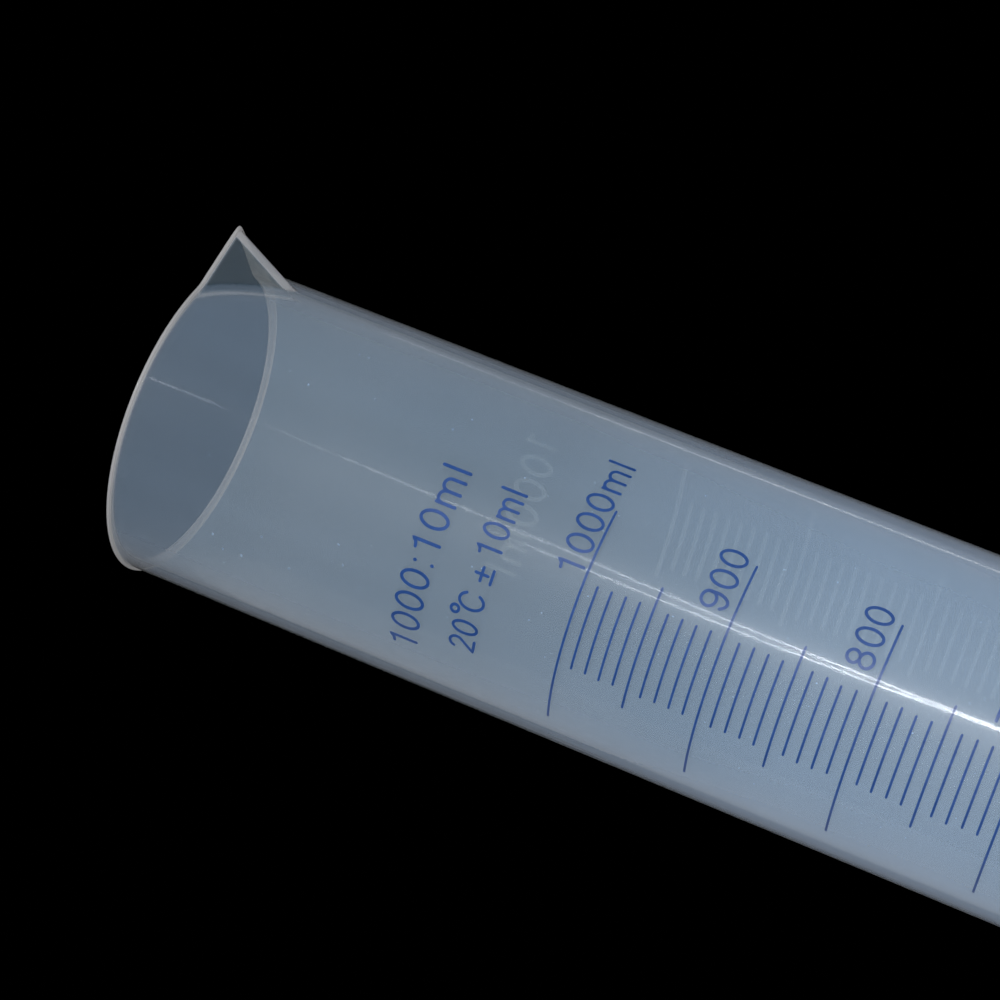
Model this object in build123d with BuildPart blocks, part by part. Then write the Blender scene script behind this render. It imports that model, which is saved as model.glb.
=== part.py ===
from build123d import *
import os
from math import atan2, cos, degrees, hypot, pi, radians, sin

# A 1000 ml measuring cylinder in translucent polypropylene, standing upright in a detachable hexagonal base.
# Millimetres, +Z up. The origin is the centre of the face that the base stands on, and the spout points to +X.
# Bearings are in degrees around the axis, counted from -Y (the side a person reads) towards +X.

# ---- tube -------------------------------------------------------------------------------------------------
capacity = 1000               # ml
wall = 2.0
draft_slope = 0.0051          # growth of the radius for each mm of height
bore_radius_at_floor = 31.26
floor_thickness = 3.0
floor_corner = 8.0            # inside radius between wall and floor
heel_corner = 5.0             # outside radius at the foot of the tube
headspace = 102.0             # from the top line to the lip
bead_proud = 0.7              # how far the lip stands out from the wall
bead_height = 1.2
bead_edge = 0.5               # rounding of the lip's two edges

# ---- pouring spout ----------------------------------------------------------------------------------------
spout_reach = 44.4            # from the axis to the tip, at the level of the lip
spout_half_angle = 20.5       # half of the bearing that the spout takes up
spout_depth = 16.8            # from the lip down to where the keel meets the wall
spout_wall = 1.8

# ---- base -------------------------------------------------------------------------------------------------
base_across_corners = 122.0
base_rim_height = 7.0         # upright band around the hexagon
base_shoulder_height = 18.0   # where the sloping roof meets the collar
base_wall = 2.2
base_corner_rounding = 9.0
base_shoulder_corner = 46.0   # from the axis to a corner of the roof's upper end
collar_height = 34.0
collar_wall = 2.6
collar_edge = 1.0             # rounding of the collar's top
seat_height = 12.0            # where the tube stands in the socket
seat_thickness = 3.0
running_gap = 0.06            # between tube and socket, on the radius
rib_thickness = 1.8
rib_foot = 1.5                # gap between the ribs and the bench
rib_count = 6

# ---- printed scale ----------------------------------------------------------------------------------------
ink = 0.08                    # thickness of the print
line_width = 0.48
print_bearing = 5.2           # centre line of the printed scale
long_line_arc = 79.6
middle_line_arc = 43.2
short_line_arc = 29.2
first_line_volume = 100       # the lowest graduation, ml
volume_step = 10
numeral_height = 5.3
numeral_gap = 2.05            # between a line and the numbers that stand on it
numeral_bearing = 26.0        # where a number begins
top_numeral_gap = 1.05
top_numeral_bearing = 19.6
capacity_text_height = 5.8
capacity_text_rise = 29.7     # above the top line
capacity_text_bearing = -29.4
calibration_text_height = 5.17
calibration_text_rise = 17.5
calibration_text_bearing = -19.9
calibration_squeeze = 0.87    # how much closer its letters stand

# ---- raised scale moulded on the back ---------------------------------------------------------------------
raised = 0.25
raised_width = 0.7
raised_long = (142.0, 193.0)  # bearings of the two ends
raised_short = (162.0, 189.0)


# ---- sizes that follow ------------------------------------------------------------------------------------
floor_top = seat_height + floor_thickness


def corner_loss():
    """Volume, in cubic millimetres, that the rounded floor corner takes from a flat-floored bore."""
    from_wall = (10 - 3 * pi) / (12 - 3 * pi) * floor_corner     # centroid of a square less its quarter disc
    return (1 - pi / 4) * floor_corner ** 2 * 2 * pi * (bore_radius_at_floor - from_wall)


def level(volume):
    """Height of the surface of a volume in ml, in a bore that widens by draft_slope."""
    held = volume * 1000.0 + corner_loss()
    cube = bore_radius_at_floor ** 3 + 3 * draft_slope * held / pi
    return floor_top + (cube ** (1 / 3) - bore_radius_at_floor) / draft_slope


def bore_radius(height):
    return bore_radius_at_floor + draft_slope * (height - floor_top)


def skin_radius(height):
    return bore_radius(height) + wall


top_line = level(capacity)
lip_height = top_line + headspace
lip_skin = skin_radius(lip_height)
tube_bottom = seat_height
heel_radius = skin_radius(tube_bottom)


def outward(bearing):
    """Unit vector that points away from the axis at a bearing."""
    return Vector(sin(radians(bearing)), -cos(radians(bearing)), 0)


def along(bearing):
    """Unit vector around the tube, towards growing bearings."""
    return Vector(cos(radians(bearing)), sin(radians(bearing)), 0)


def strip_profile(low, high, inside, outside):
    """Corners, as (radius, height), of a strip on the tube's skin, from one depth to another."""
    return [
        (skin_radius(low) + inside, low),
        (skin_radius(low) + outside, low),
        (skin_radius(high) + outside, high),
        (skin_radius(high) + inside, high),
    ]


def strip(height, width, start, end, inside, outside):
    """Add a level strip around the tube, between two bearings, to the part that is being made."""
    side = Plane(origin=(0, 0, 0), x_dir=outward(start), z_dir=-along(start))
    with BuildSketch(side, mode=Mode.PRIVATE) as profile:
        with BuildLine():
            Polyline(*strip_profile(height - width / 2, height + width / 2, inside, outside), close=True)
        make_face()
    revolve(profile.sketch, axis=Axis.Z, revolution_arc=end - start)


# ---- measuring tube ---------------------------------------------------------------------------------------
corner_x = lip_skin * cos(radians(spout_half_angle))
corner_y = lip_skin * sin(radians(spout_half_angle))
spout_spread = corner_y / (spout_reach - corner_x)    # how fast the spout widens behind its tip


def spout_triangle(tip, back):
    """Corners of a horizontal triangle from the tip of the spout back to a chord inside the wall."""
    half_width = (tip - back) * spout_spread
    return [(tip, 0), (back, half_width), (back, -half_width)]


keel_lean = (spout_reach - skin_radius(lip_height - spout_depth)) / spout_depth
spout_back = bore_radius(lip_height) - 2.5            # ends inside the bore, which is cut out after it
channel_back = spout_back - 1.5
channel_tip = spout_reach - spout_wall * hypot(1, spout_spread) / spout_spread
channel_top = lip_height + 1.0                        # past the lip, to cut through it

with BuildSketch(Plane.XY.offset(lip_height)) as spout_mouth:
    with BuildLine():
        Polyline(*spout_triangle(spout_reach, spout_back), close=True)
    make_face()
with BuildSketch(Plane.XY.offset(channel_top)) as channel_mouth:
    with BuildLine():
        Polyline(*spout_triangle(channel_tip + keel_lean, channel_back), close=True)
    make_face()

volumes = range(first_line_volume, capacity + 1, volume_step)

with BuildPart() as raised_scale:
    for volume in volumes:
        start, end = raised_long if volume % 100 == 0 else raised_short
        strip(level(volume), raised_width, start, end, -wall / 2, raised)

with BuildPart() as measuring_tube:
    with BuildSketch(Plane.XZ) as skin:
        with BuildLine():
            Polyline(
                (0, tube_bottom), (heel_radius, tube_bottom), (lip_skin, lip_height), (0, lip_height),
                close=True,
            )
        make_face()
        skin_ends = skin.vertices().filter_by_position(Axis.X, heel_radius, lip_skin)
        fillet(skin_ends.sort_by(Axis.Y)[0], heel_corner)
    revolve(axis=Axis.Z)
    with BuildSketch(Plane.XZ) as lip:
        with BuildLine():
            Polyline(
                (lip_skin - wall / 2, lip_height - bead_height),
                (lip_skin + bead_proud, lip_height - bead_height),
                (lip_skin + bead_proud, lip_height),
                (lip_skin - wall / 2, lip_height),
                close=True,
            )
        make_face()
        fillet(lip.vertices().sort_by(Axis.X)[-2:], bead_edge)
    revolve(axis=Axis.Z)
    loft([spout_mouth.sketch, Vertex(spout_back, 0, lip_height - (spout_reach - spout_back) / keel_lean)])
    add(raised_scale.part)
    with BuildSketch(Plane.XZ) as bore:
        with BuildLine():
            Polyline(
                (0, floor_top), (bore_radius_at_floor, floor_top), (bore_radius(channel_top), channel_top),
                (0, channel_top), close=True,
            )
        make_face()
        bore_ends = bore.vertices().filter_by_position(Axis.X, bore_radius_at_floor, lip_skin)
        fillet(bore_ends.sort_by(Axis.Y)[0], floor_corner)
    revolve(axis=Axis.Z, mode=Mode.SUBTRACT)
    channel_foot = channel_top - (channel_tip + keel_lean - channel_back) / keel_lean
    loft([channel_mouth.sketch, Vertex(channel_back, 0, channel_foot)], mode=Mode.SUBTRACT)

# ---- hexagonal base ---------------------------------------------------------------------------------------
socket_radius = heel_radius + running_gap
collar_radius = socket_radius + draft_slope * (collar_height - seat_height) + collar_wall
cut_past = 1.0                # how far a cut runs past the face that it opens


def hexagon(radius, corner):
    with BuildSketch(mode=Mode.PRIVATE) as outline:
        RegularPolygon(radius=radius, side_count=6)
        fillet(outline.vertices(), corner)
    return outline.sketch


def foot_shell(inset, low):
    """Solid inside the foot's surface, moved in by an inset: an upright band, then a sloping roof."""
    shoulder = base_shoulder_height - inset
    band_top = base_rim_height - inset / 2
    corner = base_corner_rounding - inset
    rim = hexagon(base_across_corners / 2 - inset / cos(radians(30)), corner)
    crown = hexagon(base_shoulder_corner - inset / cos(radians(30)), corner)
    with BuildPart(mode=Mode.PRIVATE) as shell:
        extrude(Plane.XY.offset(low) * rim, amount=band_top - low)
        loft([Plane.XY.offset(band_top) * rim, Plane.XY.offset(shoulder) * crown])
    return shell.part


foot_outside = foot_shell(0.0, 0.0)
foot_inside = foot_shell(base_wall, -cut_past)

with BuildPart() as hollow:
    add(foot_inside)
    with BuildSketch(Plane.XY.offset(rib_foot)):
        with PolarLocations(collar_radius - collar_wall, rib_count):
            Rectangle(base_across_corners / 2, rib_thickness, align=(Align.MIN, Align.CENTER))
    extrude(amount=base_shoulder_height, mode=Mode.SUBTRACT)
    with BuildSketch(Plane.XY.offset(seat_height - seat_thickness)):
        Circle(collar_radius)
    extrude(amount=base_shoulder_height, mode=Mode.SUBTRACT)

with BuildPart() as hexagonal_base:
    add(foot_outside)
    with BuildSketch(Plane.XY.offset(base_rim_height)):
        Circle(collar_radius)
    extrude(amount=collar_height - base_rim_height)
    fillet(hexagonal_base.faces().sort_by(Axis.Z)[-1].edges(), collar_edge)
    add(hollow.part, mode=Mode.SUBTRACT)
    socket_end = collar_height + cut_past
    with BuildSketch(Plane.XZ):
        with BuildLine():
            Polyline(
                (0, seat_height),
                (socket_radius, seat_height),
                (socket_radius + draft_slope * (socket_end - seat_height), socket_end),
                (0, socket_end),
                close=True,
            )
        make_face()
    revolve(axis=Axis.Z, mode=Mode.SUBTRACT)


# ---- print ------------------------------------------------------------------------------------------------
# Letters are drawn with strokes, in units of their height, to the right of their cell's middle and above their
# foot. A chain is straight runs through points, an arc is (centre x, centre y, radius, start angle, sweep), and
# an oval is (centre x, centre y, width, height).
letter_strokes = {
    "0": {"oval": [(0.0, 0.5, 0.58, 1.0)]},
    "1": {"chain": [[(-0.2, 0.83), (-0.02, 0.88), (0.055, 1.0), (0.055, 0.0)]]},
    "2": {"arc": [(0.0, 0.73, 0.27, 165, -205)], "chain": [[(0.207, 0.556), (-0.28, 0.0), (0.28, 0.0)]]},
    "3": {"arc": [(-0.01, 0.76, 0.24, 150, -240), (-0.01, 0.26, 0.26, 90, -250)]},
    "4": {"chain": [[(0.12, 0.0), (0.12, 1.0), (-0.3, 0.28), (0.3, 0.28)]]},
    "5": {"arc": [(-0.02, 0.31, 0.3, 140, -285)], "chain": [[(0.24, 1.0), (-0.2, 1.0), (-0.25, 0.5)]]},
    "6": {"oval": [(0.0, 0.28, 0.57, 0.56)], "arc": [(0.435, 0.28, 0.72, 180, -68)]},
    "7": {"chain": [[(-0.27, 1.0), (0.27, 1.0), (0.02, 0.5), (-0.1, 0.0)]]},
    "8": {"oval": [(0.0, 0.765, 0.48, 0.47), (0.0, 0.265, 0.57, 0.53)]},
    "9": {"oval": [(0.0, 0.72, 0.57, 0.56)], "arc": [(-0.435, 0.72, 0.72, 0, -68)]},
    "m": {"arc": [(-0.23, 0.48, 0.22, 180, -180), (0.23, 0.48, 0.22, 180, -180)],
          "chain": [[(-0.45, 0.0), (-0.45, 0.7)], [(0.0, 0.0), (0.0, 0.48)], [(0.45, 0.0), (0.45, 0.48)]]},
    "l": {"chain": [[(0.0, 0.0), (0.0, 1.0)]]},
    "C": {"arc": [(-0.193, 0.6, 0.4, 20, 160), (-0.193, 0.4, 0.4, 180, 160)],
          "chain": [[(-0.593, 0.6), (-0.593, 0.4)]]},
    "°": {"oval": [(0.0, 1.1, 0.34, 0.3)]},
    "±": {"chain": [[(0.0, 0.17), (0.0, 0.68)], [(-0.31, 0.43), (0.31, 0.43)], [(-0.31, 0.0), (0.31, 0.0)]]},
    ":": {"chain": [[(0.0, 0.03), (0.0, 0.05)], [(0.0, 0.68), (0.0, 0.7)]]},
}
letter_cell = {"m": 1.27, "l": 0.41, "C": 0.93, "°": 0.64, "±": 0.9, ":": 0.46, " ": 0.25}
digit_cell = 0.87
stroke_share = 0.118          # stroke width as a share of the letters' height
letter_depth = 1.0            # how deep a letter is cut from the sheet of ink


def letter_outline(letter, height):
    """One letter, flat on XY, with the foot of its cell's middle at the origin."""
    stroke = stroke_share * height
    strokes = letter_strokes[letter]
    with BuildSketch() as outline:
        for x, y, width, tall in strokes.get("oval", []):
            with Locations((x * height, y * height)):
                Ellipse((width * height + stroke) / 2, (tall * height + stroke) / 2)
                Ellipse((width * height - stroke) / 2, (tall * height - stroke) / 2, mode=Mode.SUBTRACT)
        for x, y, radius, start, sweep in strokes.get("arc", []):
            bend = CenterArc((x * height, y * height), radius * height, start, sweep, mode=Mode.PRIVATE)
            SlotArc(arc=bend, height=stroke)
        for points in strokes.get("chain", []):
            for (x1, y1), (x2, y2) in zip(points, points[1:]):
                length = hypot(x2 - x1, y2 - y1) * height
                middle = ((x1 + x2) / 2 * height, (y1 + y2) / 2 * height)
                with Locations(middle):
                    SlotCenterToCenter(length, stroke, rotation=degrees(atan2(y2 - y1, x2 - x1)))
    return outline.sketch


letter_heights = {numeral_height, capacity_text_height, calibration_text_height}
outlines = {}
for height in letter_heights:
    for letter in letter_strokes:
        outlines[letter, height] = letter_outline(letter, height)


def words(text, start, foot, height, squeeze=1.0):
    """Ink letters around the tube. The first cell begins at a bearing, and all stand on a height."""
    margin = height / 2
    turn = start
    with BuildPart(mode=Mode.PRIVATE) as sheet:
        with BuildSketch(Plane.XZ):
            with BuildLine():
                Polyline(*strip_profile(foot - margin, foot + height + margin, 0.0, ink), close=True)
            make_face()
        revolve(axis=Axis.Z)
    with BuildPart(mode=Mode.PRIVATE) as row:
        for letter in text:
            cell = letter_cell.get(letter, digit_cell) * height * squeeze
            half_turn = degrees(cell / 2 / skin_radius(foot))
            turn += half_turn
            if letter != " ":
                on_skin = outward(turn) * (skin_radius(foot) + letter_depth / 2) + Vector(0, 0, foot)
                face = Plane(origin=on_skin, x_dir=along(turn), z_dir=outward(turn))
                extrude(face * outlines[letter, height], amount=-letter_depth)
            turn += half_turn
        add(sheet.part, mode=Mode.INTERSECT)
    return row.part


hundreds = [volume for volume in volumes if volume % 100 == 0]
fifties = [volume for volume in volumes if volume % 100 == 50]
tens = [volume for volume in volumes if volume % 50]
numbers = []
for volume in hundreds[:-1]:
    numbers.append(words(str(volume), numeral_bearing, level(volume) + numeral_gap, numeral_height))
numbers.append(words("1000ml", top_numeral_bearing, top_line + top_numeral_gap, numeral_height))
capacity_text = words("1000:10ml", capacity_text_bearing, top_line + capacity_text_rise, capacity_text_height)
calibration_text = words("20°C ± 10ml", calibration_text_bearing, top_line + calibration_text_rise,
                         calibration_text_height, calibration_squeeze)


def printed_line(volume, arc):
    """Add one graduation, a band of ink centred on print_bearing, to the part that is being made."""
    strip(level(volume), line_width, print_bearing - arc / 2, print_bearing + arc / 2, 0.0, ink)


with BuildPart() as hundred_ml_lines:
    for volume in hundreds:
        printed_line(volume, long_line_arc)

with BuildPart() as fifty_ml_lines:
    for volume in fifties:
        printed_line(volume, middle_line_arc)

with BuildPart() as ten_ml_lines:
    for volume in tens:
        printed_line(volume, short_line_arc)

with BuildPart() as scale_numerals:
    add(numbers)

with BuildPart() as capacity_inscription:
    add(capacity_text)

with BuildPart() as calibration_inscription:
    add(calibration_text)

# ---- files ------------------------------------------------------------------------------------------------
os.makedirs("parts", exist_ok=True)

measuring_tube.part.label = "measuring_tube"
export_step(measuring_tube.part, "parts/measuring_tube.step")
hexagonal_base.part.label = "hexagonal_base"
export_step(hexagonal_base.part, "parts/hexagonal_base.step")
hundred_ml_lines.part.label = "hundred_ml_lines"
export_step(hundred_ml_lines.part, "parts/hundred_ml_lines.step")
fifty_ml_lines.part.label = "fifty_ml_lines"
export_step(fifty_ml_lines.part, "parts/fifty_ml_lines.step")
ten_ml_lines.part.label = "ten_ml_lines"
export_step(ten_ml_lines.part, "parts/ten_ml_lines.step")
scale_numerals.part.label = "scale_numerals"
export_step(scale_numerals.part, "parts/scale_numerals.step")
capacity_inscription.part.label = "capacity_inscription"
export_step(capacity_inscription.part, "parts/capacity_inscription.step")
calibration_inscription.part.label = "calibration_inscription"
export_step(calibration_inscription.part, "parts/calibration_inscription.step")
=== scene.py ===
import bpy
import random
from math import atan2, cos, degrees, exp, hypot, pi, radians, sin, sqrt
from mathutils import Matrix, Vector


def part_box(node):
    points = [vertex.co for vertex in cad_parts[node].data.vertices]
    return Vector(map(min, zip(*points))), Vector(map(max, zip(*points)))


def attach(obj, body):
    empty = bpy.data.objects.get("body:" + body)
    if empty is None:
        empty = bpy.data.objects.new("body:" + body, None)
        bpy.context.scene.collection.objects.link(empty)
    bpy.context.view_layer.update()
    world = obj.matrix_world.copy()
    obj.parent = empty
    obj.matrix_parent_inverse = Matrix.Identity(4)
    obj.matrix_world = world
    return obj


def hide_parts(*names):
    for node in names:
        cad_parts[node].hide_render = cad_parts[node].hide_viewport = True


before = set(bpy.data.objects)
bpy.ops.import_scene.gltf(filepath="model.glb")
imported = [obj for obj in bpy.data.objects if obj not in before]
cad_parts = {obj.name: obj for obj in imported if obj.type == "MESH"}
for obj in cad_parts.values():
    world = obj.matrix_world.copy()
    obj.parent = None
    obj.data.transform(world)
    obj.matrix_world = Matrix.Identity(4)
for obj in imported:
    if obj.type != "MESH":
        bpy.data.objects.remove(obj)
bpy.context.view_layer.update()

# A 1000 ml measuring cylinder in milky polypropylene. Metres, +Z up, the spout towards +X.
# Bearings are degrees around the axis, counted from -Y (the side a person reads) towards +X.
MM = 0.001

# ---- sizes read from the frame ----------------------------------------------------------------------------
tube_low, tube_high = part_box("measuring_tube")
_, base_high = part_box("hexagonal_base")
LIP = tube_high.z
SPOUT_REACH = tube_high.x
TUBE_FOOT = tube_low.z
COLLAR_TOP = base_high.z

# ---- sizes of the tube ------------------------------------------------------------------------------------
WALL = 2.0 * MM
SLOPE = 0.0051                     # growth of the radius with height
FLOOR_THICKNESS = 3.0 * MM
FLOOR_TOP = TUBE_FOOT + FLOOR_THICKNESS
BORE_AT_FLOOR = 31.26 * MM
FLOOR_CORNER = 8.0 * MM
HEEL_CORNER = 5.0 * MM
HEADSPACE = 102.0 * MM             # from the top line to the lip
TOP_LINE = LIP - HEADSPACE
BEAD_PROUD = 0.7 * MM
BEAD_HEIGHT = 0.85 * MM
SPOUT_HALF_ANGLE = 20.5
SPOUT_DEPTH = 16.8 * MM            # from the lip down to where the keel meets the wall
SPOUT_WALL = 1.3 * MM
CUBIC_METRES_IN_ML = 1e-6


def bore_radius(z):
    return BORE_AT_FLOOR + SLOPE * (z - FLOOR_TOP)


def skin_radius(z):
    return bore_radius(z) + WALL


def corner_loss():
    """Volume that the rounded floor corner takes from a flat-floored bore."""
    from_wall = (10 - 3 * pi) / (12 - 3 * pi) * FLOOR_CORNER      # centroid of a square less its quarter disc
    return (1 - pi / 4) * FLOOR_CORNER ** 2 * 2 * pi * (BORE_AT_FLOOR - from_wall)


def level(volume):
    """Height of the surface of a volume in ml."""
    held = volume * CUBIC_METRES_IN_ML + corner_loss()
    cube = BORE_AT_FLOOR ** 3 + 3 * SLOPE * held / pi
    return FLOOR_TOP + (cube ** (1 / 3) - BORE_AT_FLOOR) / SLOPE


def on_tube(bearing, z, out=0.0):
    """Point on the tube's skin at a bearing and a height, standing out by a little."""
    r = skin_radius(z) + out
    return Vector((r * sin(radians(bearing)), -r * cos(radians(bearing)), z))


def soft_max(a, b, k):
    """The larger of two lengths, with a fillet of about k where they meet."""
    h = max(k - abs(a - b), 0.0) / k
    return max(a, b) + h * h * k / 4


def new_mesh(name, points, faces, smooth=True):
    mesh = bpy.data.meshes.new(name)
    mesh.from_pydata(points, [], faces)
    mesh.update()
    if smooth:
        mesh.shade_smooth()
    piece = bpy.data.objects.new(name, mesh)
    bpy.context.scene.collection.objects.link(piece)
    return piece


# ---- tube with its spout ----------------------------------------------------------------------------------
LIP_SKIN = skin_radius(LIP)
CORNER_X = LIP_SKIN * cos(radians(SPOUT_HALF_ANGLE))
CORNER_Y = LIP_SKIN * sin(radians(SPOUT_HALF_ANGLE))
SPREAD = CORNER_Y / (SPOUT_REACH - CORNER_X)
KEEL_LEAN = (SPOUT_REACH - skin_radius(LIP - SPOUT_DEPTH)) / SPOUT_DEPTH
KEEL_ROUND = 1.0 * MM
KEEL_TRIM = 0.55                   # share of the keel's rounding that is taken back off the flat sides
SPOUT_LIMIT = 38.0                 # turn from the keel past which the spout has no part
WALL_BLEND = 0.6 * MM              # fillet between the spout and the wall
KEEL_BAND = 1.7 * MM               # thick plastic along the keel, drawn as a painted pale glow
KEEL_BAND_EDGE = 0.3 * MM
KEEL_GLOW = 0.88
ROOT_BAND = 0.45 * MM              # thick plastic where the flat sides meet the bore, with a painted bright line along it
ROOT_HEIGHT = 0.2 * MM
ROOT_GLOW = 0.8
FAR_ROOT_BAND = 1.1 * MM           # a wider band on the side towards larger bearings only: a painted highlight along the root
FAR_ROOT_HEIGHT = 0.5 * MM
FAR_ROOT_PAINTED_HIGHLIGHT = 0.7
THIN_EDGE = 0.06 * MM              # how fast the wall gets thin past the root of the spout, where its painted shade comes in
POLISHED_BEARING = 25.0            # middle of the side with the sharp gloss
POLISHED_HALF = 80.0
POLISHED_FADE = 25.0
KEEL_BEARING = 90.0


def spout_radius(turn, z, inset):
    """Distance from the axis to the spout's two flat sides, at a turn in degrees from the keel."""
    if abs(turn) > SPOUT_LIMIT:
        return 0.0
    keel = SPOUT_REACH - KEEL_LEAN * (LIP - z) - inset * sqrt(1 + SPREAD ** 2) / SPREAD
    side = abs(sin(radians(turn)))
    softness = KEEL_ROUND / SPOUT_REACH
    side = sqrt(side ** 2 + softness ** 2) - softness * KEEL_TRIM
    return SPREAD * keel / (side + SPREAD * cos(radians(turn)))


def outer_radius(turn, z):
    return soft_max(skin_radius(z), spout_radius(turn, z, 0.0), WALL_BLEND)


def inner_radius(turn, z):
    return soft_max(bore_radius(z), spout_radius(turn, z, SPOUT_WALL), WALL_BLEND)


# Steps in degrees between columns of points: at the keel, on the rest of the spout, and behind it.
KEEL_STEP, SPOUT_STEP, BACK_STEP = 0.35, 0.5, 2.0
KEEL_ZONE = (-3.0, 2.9)
SPOUT_ZONE = 30.0


def turn_step(turn):
    if KEEL_ZONE[0] <= turn < KEEL_ZONE[1]:
        return KEEL_STEP
    return SPOUT_STEP if abs(turn) < SPOUT_ZONE else BACK_STEP


def tube_turns():
    """Turns from the keel, in degrees, once around the tube."""
    turns = []
    turn = -180.0
    while turn < 180.0 - 1e-6:
        turns.append(turn)
        turn += turn_step(turn)
    return turns


def arc_steps(count):
    return [i / count for i in range(count + 1)]


def heights(low, high, fine_below_top, fine, coarse):
    """Heights from low to high, fine near the top."""
    steps = []
    z = low
    while z < high - fine_below_top:
        steps.append(z)
        z += coarse
    z = high - fine_below_top
    while z < high - fine / 2:
        steps.append(z)
        z += fine
    steps.append(high)
    return steps


UNDERSIDE_RISE = 0.6 * MM          # the closed bottom is a little hollow under the middle
HEEL_GLOW = 0.2                    # how thick the plastic looks, drawn as a painted pale glow: 0 is a wall, 1 is seen edge on
BEAD_ROOT = 0.05 * MM
BEAD_ROOT_GLOW = 0.5
BEAD_SQUARENESS = 0.7              # below 1 the bead is fuller than a half circle
BEAD_TOP = 0.25 * MM
LIP_CROWN = 0.07                   # how much the lip's face swells, as a share of half the bead
INNER_EDGE_GLOW = 0.35
FINE_ZONE = 22 * MM                # below the lip, where rings stand close together for the spout
FINE_RINGS = 0.6 * MM
COARSE_RINGS = 5 * MM


def tube_profile():
    """Rings from the underside, up the outside, over the lip and down the bore.

    A ring is (kind, value, height, glow). The value is a plain ring's radius, how far an outer or inner ring
    stands off its wall, or a lip ring's share of the way across the lip.
    """
    rings = []
    foot_r = skin_radius(TUBE_FOOT)
    for share in (0.02, 0.3, 0.6, 0.8):
        rings.append(("plain", (foot_r - HEEL_CORNER) * share, TUBE_FOOT + UNDERSIDE_RISE * (1 - share), 0.0))
    for t in arc_steps(8):
        a = t * pi / 2
        r = foot_r - HEEL_CORNER + HEEL_CORNER * sin(a)
        rings.append(("plain", r, TUBE_FOOT + HEEL_CORNER * (1 - cos(a)), HEEL_GLOW * (1 - t)))
    bead_low = LIP - BEAD_HEIGHT
    half_bead = BEAD_HEIGHT * 0.5
    wall_top = bead_low - 0.5 * MM
    for z in heights(TUBE_FOOT + HEEL_CORNER * 1.2, wall_top, FINE_ZONE, FINE_RINGS, COARSE_RINGS):
        rings.append(("out", 0.0, z, 0.0))
    rings.append(("out", BEAD_ROOT, bead_low - 0.1 * MM, BEAD_ROOT_GLOW))
    # The bead and the lip: thick plastic seen edge on, with a full painted pale glow.
    for t in arc_steps(10):
        a = pi / 2 - t * pi
        swell = BEAD_PROUD * cos(a) ** BEAD_SQUARENESS if cos(a) > 0 else 0.0
        z = bead_low + half_bead * (1 - sin(a)) * (1 - LIP_CROWN)
        rings.append(("out", max(swell, BEAD_ROOT if t < 0.5 else BEAD_TOP), z, 1.0))
    for t in arc_steps(6):
        rings.append(("lip", t, LIP - LIP_CROWN * half_bead * (1 - sin(pi * t)), 1.0))
    inside_edge = LIP - 0.6 * MM
    bore_heights = heights(FLOOR_TOP + FLOOR_CORNER * 1.1, inside_edge, FINE_ZONE, FINE_RINGS, COARSE_RINGS)
    for z in reversed(bore_heights):
        rings.append(("in", 0.0, z, INNER_EDGE_GLOW if z > LIP - 0.7 * MM else 0.0))
    for t in arc_steps(10):
        a = t * pi / 2
        r = BORE_AT_FLOOR - FLOOR_CORNER * (1 - cos(a))
        rings.append(("plain", r, FLOOR_TOP + FLOOR_CORNER * (1 - sin(a)), 0.0))
    for share in (0.75, 0.5, 0.25, 0.02):
        rings.append(("plain", (BORE_AT_FLOOR - FLOOR_CORNER) * share, FLOOR_TOP, 0.0))
    return rings


LIP_OVERHANG = 0.2 * MM


def ring_radius(ring, turn):
    kind, value, z, _ = ring
    if kind == "plain":
        return value
    if kind == "out":
        return outer_radius(turn, z) + value
    if kind == "in":
        return inner_radius(turn, z) - value
    outside = outer_radius(turn, LIP) + LIP_OVERHANG
    inside = inner_radius(turn, LIP)
    return outside + (inside - outside) * value


BELOW_SPOUT = 3 * MM


def proud_of_wall(turn, z, inset):
    """How far a flat side of the spout stands out from the tube's wall, or None away from the spout."""
    side = spout_radius(turn, z, inset)
    if side <= 0.0 or z < LIP - SPOUT_DEPTH - BELOW_SPOUT:
        return None
    return side - (bore_radius(z) if inset else skin_radius(z))


def edge_glow(proud, turn, r, inside):
    """How much thicker than a wall the plastic looks along the keel and where a flat side meets the bore,
    drawn as a painted pale glow.
    """
    if proud is None:
        return 0.0
    if inside:
        band = FAR_ROOT_BAND if turn > 0 else ROOT_BAND
        return ROOT_GLOW * exp(-((proud - ROOT_HEIGHT) / band) ** 2)
    from_keel = r * radians(abs(turn))
    glow = min(max((KEEL_BAND - from_keel) / KEEL_BAND_EDGE + 1.0, 0.0), 1.0)
    # Painted highlight: a bright band along the root on the side towards larger bearings only.
    if turn > 0:
        glow = max(glow, FAR_ROOT_PAINTED_HIGHLIGHT * exp(-((proud - FAR_ROOT_HEIGHT) / FAR_ROOT_BAND) ** 2))
    return KEEL_GLOW * glow if proud > -KEEL_BAND_EDGE else 0.0


def soft_gloss(kind, turn):
    """0 on the side that is handled and polished, 1 in the bore and round the scuffed back."""
    if kind in ("in", "plain"):
        return 1.0
    from_front = abs((turn + KEEL_BEARING - POLISHED_BEARING + 180.0) % 360.0 - 180.0)
    return min(max((from_front - POLISHED_HALF) / POLISHED_FADE, 0.0), 1.0)


def set_attribute(piece, name, values):
    attribute = piece.data.attributes.new(name, "FLOAT", "POINT")
    attribute.data.foreach_set("value", values)


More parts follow.
